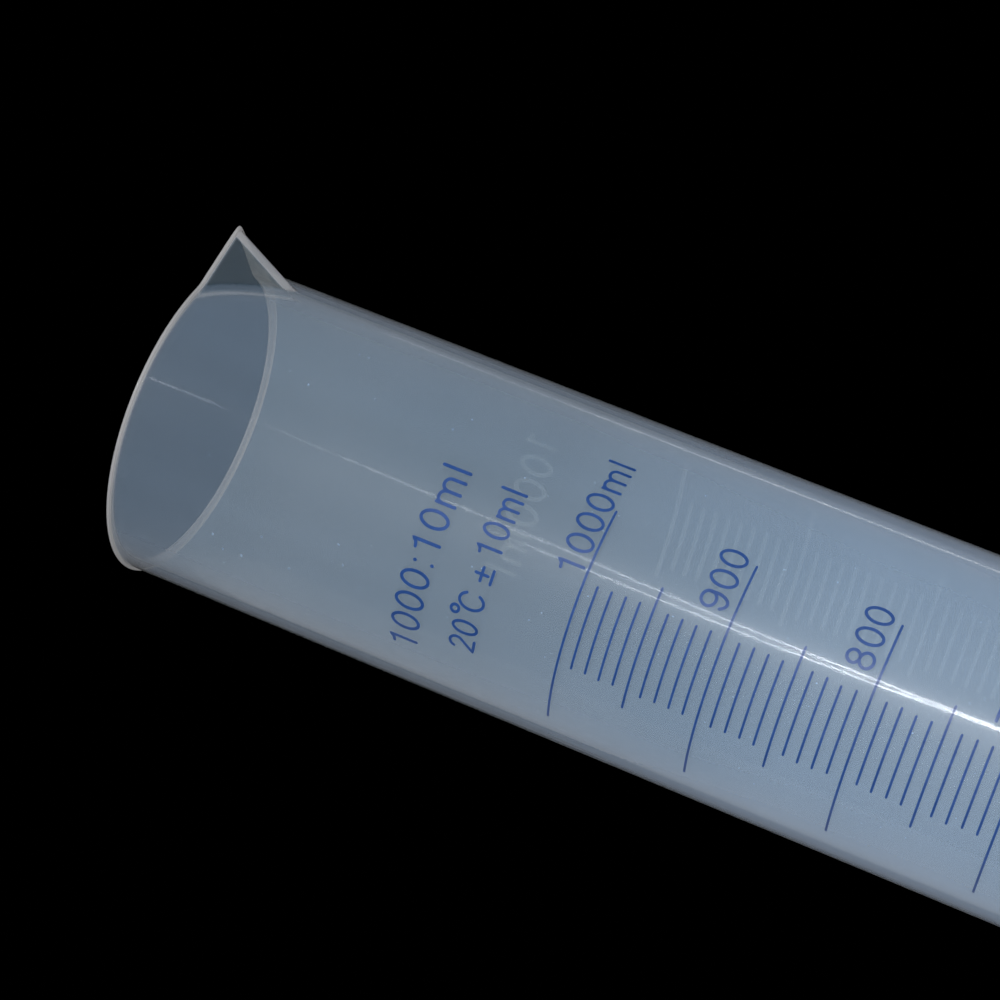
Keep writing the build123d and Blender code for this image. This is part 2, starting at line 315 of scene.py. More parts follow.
def build_tube():
    turns = tube_turns()
    rings = tube_profile()
    points, glow, thin, soft = [], [], [], []
    for ring in rings:
        kind, _, z, ring_glow = ring
        for turn in turns:
            r = ring_radius(ring, turn)
            points.append((r * cos(radians(turn)), r * sin(radians(turn)), z))
            inside = kind == "in"
            proud = proud_of_wall(turn, z, SPOUT_WALL if inside else 0.0) if kind in ("out", "in") else None
            # Glow: thick plastic at the edges, drawn as a painted pale glow.
            glow.append(max(ring_glow, edge_glow(proud, turn, r, inside)))
            # Thin: the spout's thinner sides, drawn darker as painted shade.
            thin.append(0.0 if proud is None else min(max(proud / THIN_EDGE, 0.0), 1.0))
            soft.append(soft_gloss(kind, turn))
    columns = len(turns)
    last_ring = (len(rings) - 1) * columns
    faces = []
    for first in range(0, last_ring, columns):
        above = first + columns
        for j in range(columns):
            k = (j + 1) % columns
            faces.append((first + j, first + k, above + k, above + j))
    faces.append(tuple(reversed(range(columns))))
    faces.append(tuple(range(last_ring, last_ring + columns)))
    tube = new_mesh("polypropylene_tube", points, faces)
    set_attribute(tube, "edge_glow", glow)
    set_attribute(tube, "thin_wall_and_painted_shade", thin)
    set_attribute(tube, "soft_gloss", soft)
    return tube


tube = build_tube()
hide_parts("measuring_tube")
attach(tube, "tube")

# ---- camera -----------------------------------------------------------------------------------------------
VIEW_BEARING = 22.4
VIEW_DISTANCE = 0.497
VIEW_BELOW_TOP_LINE = 0.0973
AIM_ABOVE_TOP_LINE = 0.0307
AIM_SIDE = 0.0077                  # to the right of the axis, as the camera stands upright
AIM_SIDE_BEARING = 111.8
ROLL = -68.35
IMAGE_WIDTH_MM = 36.0
LENS_MM = 87.36


def place_camera():
    bearing = radians(VIEW_BEARING)
    height = TOP_LINE - VIEW_BELOW_TOP_LINE
    stand = Vector((VIEW_DISTANCE * sin(bearing), -VIEW_DISTANCE * cos(bearing), height))
    side = radians(AIM_SIDE_BEARING)
    aim = Vector((AIM_SIDE * sin(side), -AIM_SIDE * cos(side), TOP_LINE + AIM_ABOVE_TOP_LINE))
    turn = (aim - stand).to_track_quat("-Z", "Y").to_matrix().to_4x4()
    camera_data = bpy.data.cameras.new("camera")
    camera_data.lens = LENS_MM
    camera_data.sensor_width = IMAGE_WIDTH_MM
    camera_data.clip_start = 0.01
    camera_data.clip_end = 60.0
    camera = bpy.data.objects.new("camera", camera_data)
    camera.matrix_world = Matrix.Translation(stand) @ turn @ Matrix.Rotation(radians(ROLL), 4, "Z")
    bpy.context.scene.collection.objects.link(camera)
    bpy.context.scene.camera = camera


place_camera()

# ---- print ------------------------------------------------------------------------------------------------
INK_THICKNESS = 0.05 * MM
INK_SEAT = 0.01 * MM               # how far the ink's underside sits inside the skin
LINE_WIDTH = 0.48 * MM
PRINT_BEARING = 5.2
LONG_ARC = 79.6
MIDDLE_ARC = 43.2
SHORT_ARC = 29.2
NUMERAL_HEIGHT = 5.3 * MM
NUMERAL_GAP = 2.05 * MM            # from a line to the foot of its number
NUMERAL_START = 20.8               # bearing of a number's first cell, from the centre line
TOP_NUMERAL_GAP = 1.05 * MM
TOP_NUMERAL_START = 14.4
CAPACITY_TEXT_HEIGHT = 5.8 * MM
CAPACITY_TEXT_RISE = 29.7 * MM
CAPACITY_TEXT_BEARING = -29.4
CALIBRATION_TEXT_HEIGHT = 5.17 * MM
CALIBRATION_TEXT_RISE = 17.5 * MM
CALIBRATION_TEXT_BEARING = -19.9
CALIBRATION_SQUEEZE = 0.87         # how much narrower its letters are
PRINT_DROOP = 0.018                # how fast the print sags to the right of the droop's bearing
DROOP_BEARING = 22.0
SAMPLE = 0.35 * MM                 # distance between points along a stroke
LINE_SAMPLE = 0.8 * MM             # and along a graduation
ARC_STEP = 9.0                     # degrees
FEWEST_ARC_STEPS = 8
CAP_ANGLES = (30, 60, 84)          # where a stroke's round end has points
HUNDREDS_LOOSE = 0.5               # how unevenly the ends of the lines print, in degrees
FIFTIES_LOOSE = 0.7
TENS_LOOSE = 0.9

# Strokes of each letter, in units of its height, to the right of its cell's middle and above its foot. A
# chain is straight runs through points, an arc is (centre x, centre y, radius x, radius y, start, sweep).
LETTERS = {
    "0": {"arc": [(0.0, 0.5, 0.29, 0.5, 90, 360)]},
    "1": {"chain": [[(-0.215, 0.83), (-0.1, 0.845), (-0.01, 0.89), (0.055, 1.0), (0.055, 0.0)]]},
    "2": {"arc": [(0.0, 0.73, 0.27, 0.27, 165, -205)],
          "chain": [[(0.207, 0.556), (-0.28, 0.0), (0.28, 0.0)]]},
    "3": {"arc": [(-0.01, 0.75, 0.24, 0.25, 150, -240), (-0.01, 0.25, 0.28, 0.25, 90, -250)]},
    "4": {"chain": [[(0.12, 0.0), (0.12, 1.0), (-0.3, 0.28), (0.3, 0.28)]]},
    "5": {"arc": [(-0.02, 0.31, 0.3, 0.31, 140, -285)], "chain": [[(0.24, 1.0), (-0.2, 1.0), (-0.25, 0.5)]]},
    "6": {"arc": [(0.0, 0.28, 0.285, 0.28, 90, 360), (0.0, 0.5, 0.285, 0.5, 205, -170)]},
    "7": {"chain": [[(-0.27, 1.0), (0.27, 1.0), (0.02, 0.5), (-0.1, 0.0)]]},
    "8": {"arc": [(0.0, 0.765, 0.24, 0.235, 90, 360), (0.0, 0.265, 0.285, 0.265, 90, 360)]},
    "9": {"arc": [(0.0, 0.72, 0.285, 0.28, 90, 360), (0.0, 0.5, 0.285, 0.5, 25, -170)]},
    "m": {"arc": [(-0.23, 0.48, 0.22, 0.22, 180, -180), (0.23, 0.48, 0.22, 0.22, 180, -180)],
          "chain": [[(-0.45, 0.0), (-0.45, 0.7)], [(0.0, 0.48), (0.0, 0.0)], [(0.45, 0.48), (0.45, 0.0)]]},
    "l": {"chain": [[(0.0, 0.0), (0.0, 1.0)]]},
    "C": {"arc": [(-0.193, 0.5, 0.4, 0.5, 33, 294)]},
    "°": {"arc": [(0.0, 1.07, 0.185, 0.16, 90, 360)]},
    "±": {"chain": [[(0.0, 0.17), (0.0, 0.68)], [(-0.31, 0.43), (0.31, 0.43)], [(-0.31, 0.0), (0.31, 0.0)]]},
    ":": {"chain": [[(0.0, 0.03), (0.0, 0.05)], [(0.0, 0.68), (0.0, 0.7)]]},
}
CELL = {"m": 1.27, "l": 0.41, "C": 0.93, "°": 0.64, "±": 0.9, ":": 0.46, " ": 0.25}
DIGIT_CELL = 0.87
STROKE_SHARE = 0.118


def refine(path, step):
    """The same path with points no further apart than step."""
    fine = [path[0]]
    for (x1, y1), (x2, y2) in zip(path, path[1:]):
        count = max(1, int(hypot(x2 - x1, y2 - y1) / step + 0.999))
        fine += [(x1 + (x2 - x1) * i / count, y1 + (y2 - y1) * i / count) for i in range(1, count + 1)]
    return fine


def letter_paths(letter, height, squeeze):
    """Centre lines of a letter's strokes, about its cell's middle and with its foot on y = 0."""
    paths = []
    for cx, cy, rx, ry, start, sweep in LETTERS[letter].get("arc", []):
        count = max(FEWEST_ARC_STEPS, int(abs(sweep) / ARC_STEP))
        angles = [radians(start + sweep * i / count) for i in range(count + 1)]
        paths.append([((cx + rx * cos(a)) * height * squeeze, (cy + ry * sin(a)) * height) for a in angles])
    for chain in LETTERS[letter].get("chain", []):
        paths.append(refine([(x * height * squeeze, y * height) for x, y in chain], SAMPLE))
    return paths


def cross_sections(path, width):
    """Left and right edge points along a stroke, with rounded ends unless the path closes on itself."""
    closed = hypot(path[0][0] - path[-1][0], path[0][1] - path[-1][1]) < 1e-7
    count = len(path)
    sections = []
    for i, (x, y) in enumerate(path):
        before = path[i - 1] if i else (path[-2] if closed else path[0])
        after = path[i + 1] if i < count - 1 else (path[1] if closed else path[-1])
        dx, dy = after[0] - before[0], after[1] - before[1]
        size = hypot(dx, dy)
        dx, dy = dx / size, dy / size
        sections.append(((x - dy * width / 2, y + dx * width / 2), (x + dy * width / 2, y - dx * width / 2)))
    if closed:
        return sections
    ends = []
    for point, beside in ((path[0], path[1]), (path[-1], path[-2])):
        dx, dy = point[0] - beside[0], point[1] - beside[1]
        size = hypot(dx, dy)
        dx, dy = dx / size, dy / size
        cap = []
        for angle in CAP_ANGLES:
            reach = sin(radians(angle)) * width / 2
            half = cos(radians(angle)) * width / 2
            x, y = point[0] + dx * reach, point[1] + dy * reach
            cap.append(((x - dy * half, y + dx * half), (x + dy * half, y - dx * half)))
        ends.append(cap)
    start_cap = [(right, left) for left, right in reversed(ends[0])]
    return start_cap + sections + ends[1]


class Ribbons:
    """Thin solid strips laid on the tube's skin, gathered into one mesh."""

    def __init__(self, inner, outer, droop=0.0):
        self.inner = inner
        self.outer = outer
        self.droop = droop
        self.points = []
        self.faces = []

    def add(self, path, width, bearing, foot):
        """Lay a stroke given in metres to the right of a bearing and above a height."""
        first = len(self.points)
        sections = cross_sections(path, width)
        for left, right in sections:
            for out in (self.outer, self.inner):
                for x, y in (left, right):
                    turn = bearing + degrees(x / skin_radius(foot))
                    droop = self.droop * radians(max(0.0, turn - DROOP_BEARING)) * skin_radius(foot)
                    self.points.append(on_tube(turn, foot + y - droop, out))
        last = len(sections) - 1
        for i in range(last):
            a = first + i * 4
            b = a + 4
            self.faces.append((a, a + 1, b + 1, b))
            self.faces.append((a + 2, b + 2, b + 3, a + 3))
            self.faces.append((a, b, b + 2, a + 2))
            self.faces.append((a + 1, a + 3, b + 3, b + 1))
        self.faces.append((first, first + 2, first + 3, first + 1))
        end = first + last * 4
        self.faces.append((end, end + 1, end + 3, end + 2))

    def write(self, words, bearing, foot, height, share=STROKE_SHARE, squeeze=1.0):
        """Lay letters from a bearing on, standing on a height. share is stroke width over letter height."""
        place = bearing
        for letter in words:
            half_cell = degrees(CELL.get(letter, DIGIT_CELL) * height * squeeze / 2 / skin_radius(foot))
            place += half_cell
            if letter != " ":
                for path in letter_paths(letter, height, squeeze):
                    self.add(path, share * height, place, foot)
            place += half_cell

    def line(self, start, end, z, width):
        """Lay a level line between two bearings."""
        length = radians(end - start) * skin_radius(z)
        self.add(refine([(0.0, 0.0), (length, 0.0)], LINE_SAMPLE), width, start, z)

    def build(self, name, node, smooth=False):
        piece = new_mesh(name, self.points, self.faces, smooth)
        if node:
            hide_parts(node)
        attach(piece, "tube")
        return piece


def print_lines(name, node, volumes, arc, loose):
    """Graduations for some volumes. loose is how unevenly their ends print."""
    ink = Ribbons(-INK_SEAT, INK_THICKNESS, PRINT_DROOP)
    for volume in volumes:
        start = PRINT_BEARING - arc / 2 + loose * (random.random() - 0.5)
        end = PRINT_BEARING + arc / 2 + loose * (random.random() - 0.5)
        ink.line(start, end, level(volume), LINE_WIDTH)
    return ink.build(name, node)


random.seed(11)
FIRST_VOLUME, LAST_VOLUME = 100, 1000
hundreds = range(FIRST_VOLUME, LAST_VOLUME + 1, 100)
fifties = range(FIRST_VOLUME + 50, LAST_VOLUME, 100)
tens = [volume for volume in range(FIRST_VOLUME + 10, LAST_VOLUME, 10) if volume % 50]
inks = [
    print_lines("ink_hundred_ml_lines", "hundred_ml_lines", hundreds, LONG_ARC, HUNDREDS_LOOSE),
    print_lines("ink_fifty_ml_lines", "fifty_ml_lines", fifties, MIDDLE_ARC, FIFTIES_LOOSE),
    print_lines("ink_ten_ml_lines", "ten_ml_lines", tens, SHORT_ARC, TENS_LOOSE),
]

numerals = Ribbons(-INK_SEAT, INK_THICKNESS, PRINT_DROOP)
numerals.write("1000ml", PRINT_BEARING + TOP_NUMERAL_START, TOP_LINE + TOP_NUMERAL_GAP, NUMERAL_HEIGHT)
for volume in hundreds[:-1]:
    numerals.write(str(volume), PRINT_BEARING + NUMERAL_START, level(volume) + NUMERAL_GAP, NUMERAL_HEIGHT)
inks.append(numerals.build("ink_scale_numerals", "scale_numerals"))

capacity_text = Ribbons(-INK_SEAT, INK_THICKNESS, PRINT_DROOP)
capacity_text.write("1000:10ml", CAPACITY_TEXT_BEARING, TOP_LINE + CAPACITY_TEXT_RISE, CAPACITY_TEXT_HEIGHT)
inks.append(capacity_text.build("ink_capacity_inscription", "capacity_inscription"))

calibration_text = Ribbons(-INK_SEAT, INK_THICKNESS, PRINT_DROOP)
calibration_text.write("20°C ± 10ml", CALIBRATION_TEXT_BEARING, TOP_LINE + CALIBRATION_TEXT_RISE,
                       CALIBRATION_TEXT_HEIGHT, squeeze=CALIBRATION_SQUEEZE)
inks.append(calibration_text.build("ink_calibration_inscription", "calibration_inscription"))

# ---- raised scale moulded on the back ---------------------------------------------------------------------
RAISED = 0.18 * MM
RAISED_SEAT = 0.05 * MM            # how far a ridge's underside sits inside the skin
RAISED_WIDTH = 0.8 * MM
RAISED_LONG = (142.0, 193.0)
RAISED_SHORT = (162.0, 189.0)
RAISED_TEXT_BEARING = 156.0
RAISED_TEXT_RISE = 30.0 * MM
RAISED_TEXT_HEIGHT = 7.0 * MM
RAISED_STROKE_SHARE = 0.13

ridges = Ribbons(-RAISED_SEAT, RAISED)
for volume in range(FIRST_VOLUME, LAST_VOLUME + 1, 10):
    start, end = RAISED_LONG if volume % 100 == 0 else RAISED_SHORT
    ridges.line(start, end, level(volume), RAISED_WIDTH)
ridges.write("1000ml", RAISED_TEXT_BEARING, TOP_LINE + RAISED_TEXT_RISE, RAISED_TEXT_HEIGHT,
             RAISED_STROKE_SHARE)
raised_scale = ridges.build("moulded_raised_scale", None)
set_attribute(raised_scale, "soft_gloss", [1.0] * len(raised_scale.data.vertices))

# ---- hexagonal base ---------------------------------------------------------------------------------------
BASE_CORNER = 61.0 * MM
CROWN_CORNER = 46.0 * MM
EDGE_ROUND = 9.0 * MM
BAND_HEIGHT = 7.0 * MM
SHOULDER_HEIGHT = 18.0 * MM
BASE_WALL = 2.2 * MM
COLLAR_WALL = 2.6 * MM
SEAT_HEIGHT = TUBE_FOOT
SEAT_THICKNESS = 3.0 * MM
RUNNING_GAP = 0.06 * MM
SOCKET = skin_radius(TUBE_FOOT) + RUNNING_GAP
COLLAR = SOCKET + SLOPE * (COLLAR_TOP - SEAT_HEIGHT) + COLLAR_WALL
RIB_THICKNESS = 1.8 * MM
RIB_FOOT = 1.5 * MM                # gap between the ribs and the bench
RIB_DROP = 1.2 * MM                # how far the ribs' tops sit below the roof's outer face
RIB_SEAT = 0.8 * MM                # how far their inner ends sit inside the collar
RIB_END = 4.0 * MM                 # from their outer ends to the base's corner
RIM_ROUND = 0.8 * MM
BAND_ROUND = 1.6 * MM              # where the upright band turns into the roof
CROWN_ROUND = 1.1 * MM             # where the roof turns level round the collar
COLLAR_FILLET = 1.6 * MM
COLLAR_EDGE = 1.0 * MM
SOCKET_EDGE = 0.5 * MM
CENTRE_HOLE = 0.5 * MM             # radius of the innermost ring, which one face closes
BASE_COLUMNS = 240
HEX_HALF = 30                      # degrees from a corner to the middle of a side


def hexagon_radius(corner, rounding, angle):
    """Distance from the axis to a hexagon with rounded corners, one of which is on +X."""
    from_corner = (angle + HEX_HALF) % (2 * HEX_HALF) - HEX_HALF
    half = radians(HEX_HALF)
    flat = corner * cos(half)
    centre = (flat - rounding) / cos(half)
    tangent = HEX_HALF - degrees(atan2((flat - rounding) * sin(half) / cos(half), flat))
    beta = radians(abs(from_corner))
    if abs(from_corner) < tangent:
        return centre * cos(beta) + sqrt(rounding ** 2 - (centre * sin(beta)) ** 2)
    return flat / cos(half - beta)


def base_profile():
    """Rings from under the seat, out under the roof, round the rim, up to the collar and into the socket.

    A ring is (hexagon's corner radius or None, its rounding, circle's radius or None, height).
    """
    rings = []

    def hexagonal(corner, z, rounding=EDGE_ROUND):
        rings.append((corner, rounding, None, z))

    def circular(radius, z):
        rings.append((None, 0.0, radius, z))

    inner = BASE_CORNER - BASE_WALL / cos(radians(HEX_HALF))
    crown_inner = CROWN_CORNER - BASE_WALL / cos(radians(HEX_HALF))
    inner_round = EDGE_ROUND - BASE_WALL
    seat_under = SEAT_HEIGHT - SEAT_THICKNESS
    roof_under = SHOULDER_HEIGHT - BASE_WALL
    circular(CENTRE_HOLE, seat_under)
    circular(COLLAR * 0.5, seat_under)
    circular(COLLAR - 1.0 * MM, seat_under)
    circular(COLLAR, seat_under + 0.6 * MM)
    circular(COLLAR, roof_under - 0.8 * MM)
    circular(COLLAR + 0.8 * MM, roof_under)
    hexagonal(crown_inner - 0.6 * MM, roof_under, inner_round)
    high = roof_under - 0.5 * MM
    low = BAND_HEIGHT - BASE_WALL / 2
    hexagonal(crown_inner + 0.6 * MM, high, inner_round)
    for share in (0.2, 0.4, 0.6, 0.8, 1.0):
        hexagonal(crown_inner + (inner - crown_inner) * share, high + (low - high) * share, inner_round)
    hexagonal(inner, RIM_ROUND, inner_round)
    for t in arc_steps(4):
        a = t * pi / 2
        hexagonal(inner + RIM_ROUND * (1 - cos(a)) * 0.8, RIM_ROUND * (1 - sin(a)), inner_round)
    for t in arc_steps(5):
        a = t * pi / 2
        hexagonal(BASE_CORNER - RIM_ROUND * (1 - sin(a)), RIM_ROUND * (1 - cos(a)))
    hexagonal(BASE_CORNER, BAND_HEIGHT - BAND_ROUND)
    slope = (BASE_CORNER - CROWN_CORNER) / (SHOULDER_HEIGHT - BAND_HEIGHT)
    for t in arc_steps(6):
        lean = 1.8 * MM * t * t * slope * 0.5
        hexagonal(BASE_CORNER - lean, BAND_HEIGHT - BAND_ROUND * (1 - t) + lean * 0.2)
    for share in (0.15, 0.3, 0.45, 0.6, 0.75, 0.9):
        hexagonal(BASE_CORNER + (CROWN_CORNER - BASE_CORNER) * share,
                  BAND_HEIGHT + (SHOULDER_HEIGHT - BAND_HEIGHT) * share)
    for t in arc_steps(5):
        a = t * pi / 2
        corner = CROWN_CORNER + 1.5 * MM * (1 - t) - 0.8 * MM * sin(a)
        hexagonal(corner, SHOULDER_HEIGHT - CROWN_ROUND * (1 - sin(a)))
    for t in arc_steps(5):
        a = t * pi / 2
        circular(COLLAR + COLLAR_FILLET * (1 - sin(a)), SHOULDER_HEIGHT + COLLAR_FILLET * (1 - cos(a)))
    circular(COLLAR, (SHOULDER_HEIGHT + COLLAR_TOP) / 2)
    for t in arc_steps(5):
        a = t * pi / 2
        circular(COLLAR - COLLAR_EDGE * (1 - cos(a)), COLLAR_TOP - COLLAR_EDGE * (1 - sin(a)))
    socket_top = SOCKET + SLOPE * (COLLAR_TOP - SEAT_HEIGHT)
    for t in arc_steps(4):
        a = t * pi / 2
        circular(socket_top + SOCKET_EDGE * (1 - sin(a)), COLLAR_TOP - SOCKET_EDGE * (1 - cos(a)))
    circular(SOCKET, SEAT_HEIGHT)
    circular(SOCKET * 0.5, SEAT_HEIGHT)
    circular(CENTRE_HOLE, SEAT_HEIGHT)
    return rings


def build_base():
    points, faces = [], []
    rings = base_profile()
    for corner, rounding, radius, z in rings:
        for j in range(BASE_COLUMNS):
            angle = 360.0 * j / BASE_COLUMNS
            r = radius if corner is None else hexagon_radius(corner, rounding, angle)
            points.append((r * cos(radians(angle)), r * sin(radians(angle)), z))
    last_ring = (len(rings) - 1) * BASE_COLUMNS
    for first in range(0, last_ring, BASE_COLUMNS):
        above = first + BASE_COLUMNS
        for j in range(BASE_COLUMNS):
            k = (j + 1) % BASE_COLUMNS
            faces.append((first + j, above + j, above + k, first + k))
    faces.append(tuple(range(BASE_COLUMNS)))
    faces.append(tuple(reversed(range(last_ring, last_ring + BASE_COLUMNS))))
    for side in range(6):
        add_rib(points, faces, radians(60 * side))
    return new_mesh("polypropylene_base", points, faces)


def add_rib(points, faces, angle):
    """A thin upright rib under the roof, from the socket out to a corner."""
    first = len(points)
    inside, outside = COLLAR - RIB_SEAT, BASE_CORNER - RIB_END
    slope = (SHOULDER_HEIGHT - BAND_HEIGHT) / (BASE_CORNER - CROWN_CORNER)
    outline = [
        (inside, RIB_FOOT),
        (outside, RIB_FOOT),
        (outside, BAND_HEIGHT + (BASE_CORNER - outside) * slope - RIB_DROP - 0.5 * MM),
        (CROWN_CORNER, SHOULDER_HEIGHT - RIB_DROP),
        (inside, SHOULDER_HEIGHT - RIB_DROP),
    ]
    for side in (-0.5, 0.5):
        for x, z in outline:
            y = side * RIB_THICKNESS
            points.append((x * cos(angle) - y * sin(angle), x * sin(angle) + y * cos(angle), z))
    count = len(outline)
    faces.append(tuple(first + i for i in range(count)))
    faces.append(tuple(first + count + i for i in reversed(range(count))))
    for i in range(count):
        k = (i + 1) % count
        faces.append((first + i, first + count + i, first + count + k, first + k))


base = build_base()
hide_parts("hexagonal_base")
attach(base, "base")


# ---- materials --------------------------------------------------------------------------------------------
class Nodes:
    """A material's node tree, with short calls to add and join nodes."""

    def __init__(self, name):
        self.material = bpy.data.materials.new(name)
        self.material.use_nodes = True
        self.tree = self.material.node_tree
        self.tree.nodes.clear()

    def add(self, kind, **settings):
        node = self.tree.nodes.new(kind)
        for key, value in settings.items():
            setattr(node, key, value)
        return node

    def join(self, source, target):
        self.tree.links.new(source, target)

    def math(self, operation, first, second, clamp=False):
        node = self.add("ShaderNodeMath", operation=operation, use_clamp=clamp)
        for socket, value in zip(node.inputs, (first, second)):
            if isinstance(value, (int, float)):
                socket.default_value = value
            else:
                self.join(value, socket)
        return node.outputs[0]

    def noise(self, scale, detail=3.0, stretch=(1.0, 1.0, 1.0), roughness=0.5):
        place = self.add("ShaderNodeTexCoord")
        mapping = self.add("ShaderNodeMapping")
        mapping.inputs["Scale"].default_value = stretch
        self.join(place.outputs["Object"], mapping.inputs["Vector"])
        noise = self.add("ShaderNodeTexNoise")
        noise.inputs["Scale"].default_value = scale
        noise.inputs["Detail"].default_value = detail
        noise.inputs["Roughness"].default_value = roughness
        self.join(mapping.outputs["Vector"], noise.inputs["Vector"])
        return noise.outputs["Fac"]

    def height(self):
        """Height of a point in the piece's own coordinates."""
        place = self.add("ShaderNodeTexCoord")
        split = self.add("ShaderNodeSeparateXYZ")
        self.join(place.outputs["Object"], split.inputs[0])
        return split.outputs["Z"]

    def spread(self, source, low, high, to_low, to_high):
        """Map a range of a value to another range, without going past its ends."""
        node = self.add("ShaderNodeMapRange")
        node.inputs["From Min"].default_value = low
        node.inputs["From Max"].default_value = high
        node.inputs["To Min"].default_value = to_low
        node.inputs["To Max"].default_value = to_high
        self.join(source, node.inputs["Value"])
        return node.outputs["Result"]

    def blend_into(self, share, source, second):
        """Blend from another node's colour, or a plain one, to a plain colour."""
        node = self.add("ShaderNodeMix", data_type="RGBA")
        first_input, second_input = [socket for socket in node.inputs if socket.type == "RGBA"]
        if isinstance(source, tuple):
            first_input.default_value = (*source, 1.0)
        else:
            self.join(source, first_input)
        second_input.default_value = (*second, 1.0)
        self.join(share, node.inputs["Factor"])
        return [socket for socket in node.outputs if socket.type == "RGBA"][0]

    def gloss(self, roughness, bump):
        """Colourless reflection from the surface."""
        node = self.add("ShaderNodeBsdfGlossy")
        node.inputs["Color"].default_value = (1.0, 1.0, 1.0, 1.0)
        self.join(roughness, node.inputs["Roughness"])
        self.join(bump.outputs["Normal"], node.inputs["Normal"])
        return node.outputs[0]

    def mix_shaders(self, share, first, second):
        node = self.add("ShaderNodeMixShader")
        if isinstance(share, (int, float)):
            node.inputs[0].default_value = share
        else:
            self.join(share, node.inputs[0])
        self.join(first, node.inputs[1])
        self.join(second, node.inputs[2])
        return node.outputs[0]


MILKY = (0.40, 0.58, 0.83)          # what the plastic scatters, bluish
MILKY_PALE = (0.45, 0.62, 0.86)
MILKY_THIN_SHADED = (0.24, 0.42, 0.62)     # the spout's thinner folded sides, drawn darker as painted shade
THICK = (0.54, 0.55, 0.59)          # where the sight line runs along a wall
EDGE = (0.64, 0.64, 0.67)           # where the plastic is seen edge on: thick plastic, drawn paler as a painted glow
WARM_CLEAR = (1.0, 0.97, 0.92)      # what it lets through
HAZE_SHARE = 0.22                   # how much of the gloss spreads into a glow
HAZE_ROUGHER = 0.15
PAINTED_LIGHT_LOW_VEIL = 1.6                       # more veil lower down, a painted brightening where the tube is nearer the lamps: its share of the veil there
PAINTED_LIGHT_FULL_BELOW = TOP_LINE - 50 * MM
PAINTED_LIGHT_RAMP_END = TOP_LINE + 15 * MM
PAINTED_LIGHT_ABOVE_VEIL = 0.95                   # and its share above the painted brightening's upper end
MILK_AT_LIP = 0.80                  # share of what it is at the top line
MILK_IN_THIN_WALL = 0.45
LEAST_UPRIGHT = 0.24                # keeps a sight line along a wall to about four thicknesses
SCRATCH_DEPTH = 0.007
SPECK_COVER = 0.6
MIDDLE = (0.35, 0.65)               # the range of a noise that a colour or a roughness is spread over
WIDE_MIDDLE = (0.3, 0.7)
PRINCIPLED_SHARE = 0.7              # the rest of what the milk scatters is translucent
POLISHED = (0.07, 0.09)             # roughness where soft_gloss is zero
SOFTER = 0.27                       # what a full soft_gloss adds to it
STRAIGHT_ON_MIRROR = 0.04
INK_BLUE = (0.010, 0.042, 0.165)
INK_BLUE_WORN = (0.016, 0.055, 0.20)
FLOOR_GREYS = ((0.50, 0.50, 0.49), (0.54, 0.54, 0.53))


